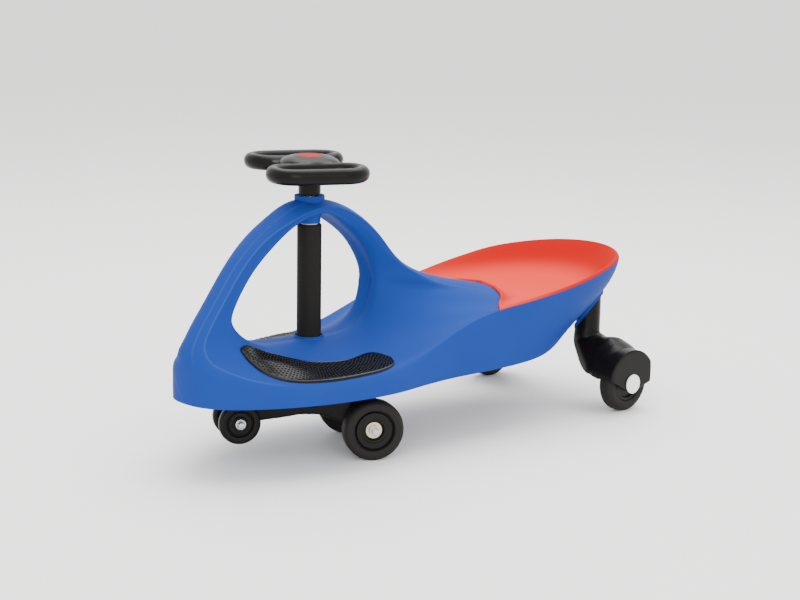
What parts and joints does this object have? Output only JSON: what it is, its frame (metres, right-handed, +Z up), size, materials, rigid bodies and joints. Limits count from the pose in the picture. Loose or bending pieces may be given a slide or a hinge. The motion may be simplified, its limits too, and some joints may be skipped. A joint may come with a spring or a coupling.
{
  "type": "wiggle car",
  "caption": "Ride-on toy driven by swinging its steering wheel: arched moulded body with a bucket seat, a turning front truck with road and tip wheels, and rear wheels in fenders.",
  "frame": {"origin": "on the ground, under the middle of the car's length and width", "axes": "+Z up, +Y from the nose to the tail along the car's length, +X to the rider's left"},
  "size_m": [0.318, 0.7714, 0.4],
  "materials": {
    "blue_shell": "satin moulded",
    "red_seat": "satin moulded",
    "black_plastic": "satin",
    "pad_rubber": "embossed matte",
    "wheel_tread": "matte",
    "hub_plastic": "satin",
    "white_nylon": "satin",
    "steel": "zinc plated",
    "cap_zinc": "satin white",
    "bearing_ring": "polished"
  },
  "bodies": {
    "chassis": {"body_shell": "blue_shell", "seat_pan": "red_seat", "seat_screws": "steel", "foot_pad_left": "pad_rubber", "foot_pad_right": "pad_rubber", "upper_bush": "white_nylon", "lower_bush": "white_nylon", "rear_leg_left": "black_plastic", "rear_leg_right": "black_plastic", "leg_bolts": "steel", "rear_axle_left": "steel", "rear_axle_right": "steel", "rear_cap_left": "cap_zinc", "rear_cap_right": "cap_zinc", "rear_clip_left": "steel", "rear_clip_right": "steel"},
    "steering": {"steering_shaft": "steel", "column_sleeve": "black_plastic", "column_washer": "white_nylon", "steering_wheel": "black_plastic", "steering_cap": "red_seat", "steering_bolt": "steel", "truck_frame": "black_plastic", "truck_bolt": "steel", "truck_nut": "steel", "main_axle": "steel", "main_nut": "steel", "main_washers": "steel", "tip_axle": "steel", "tip_nut": "steel", "tip_washers": "steel"},
    "main_wheel_left": {"main_tyre_left": "wheel_tread", "main_hub_left": "hub_plastic", "main_bearing_left": "bearing_ring"},
    "tip_wheel_left": {"tip_wheel_left": "hub_plastic", "tip_bush_left": "white_nylon"},
    "rear_wheel_left": {"rear_tyre_left": "wheel_tread", "rear_hub_left": "hub_plastic"},
    "main_wheel_right": {"main_tyre_right": "wheel_tread", "main_hub_right": "hub_plastic", "main_bearing_right": "bearing_ring"},
    "tip_wheel_right": {"tip_wheel_right": "hub_plastic", "tip_bush_right": "white_nylon"},
    "rear_wheel_right": {"rear_tyre_right": "wheel_tread", "rear_hub_right": "hub_plastic"}
  },
  "joints": [
    {"name": "steering_turn", "type": "hinge", "parent": "chassis", "child": "steering", "pos_m": [0, -0.1805, 0], "axis": [0, 0, 1], "continuous": true},
    {"name": "main_wheel_left_spin", "type": "hinge", "parent": "steering", "child": "main_wheel_left", "pos_m": [0.09254, -0.1473, 0.0405], "axis": [0.8949, -0.4462, 0], "continuous": true},
    {"name": "tip_wheel_left_spin", "type": "hinge", "parent": "steering", "child": "tip_wheel_left", "pos_m": [-0.02493, -0.27757, 0.0465], "axis": [0.8949, -0.4462, 0], "continuous": true},
    {"name": "rear_wheel_left_spin", "type": "hinge", "parent": "chassis", "child": "rear_wheel_left", "pos_m": [0.1365, 0.3025, 0.042], "axis": [1, 0, 0], "continuous": true},
    {"name": "main_wheel_right_spin", "type": "hinge", "parent": "steering", "child": "main_wheel_right", "pos_m": [-0.02917, -0.08662, 0.0405], "axis": [0.8949, -0.4462, 0], "continuous": true},
    {"name": "tip_wheel_right_spin", "type": "hinge", "parent": "steering", "child": "tip_wheel_right", "pos_m": [-0.06252, -0.25883, 0.0465], "axis": [0.8949, -0.4462, 0], "continuous": true},
    {"name": "rear_wheel_right_spin", "type": "hinge", "parent": "chassis", "child": "rear_wheel_right", "pos_m": [-0.1365, 0.3025, 0.042], "axis": [1, 0, 0], "continuous": true}
  ]
}
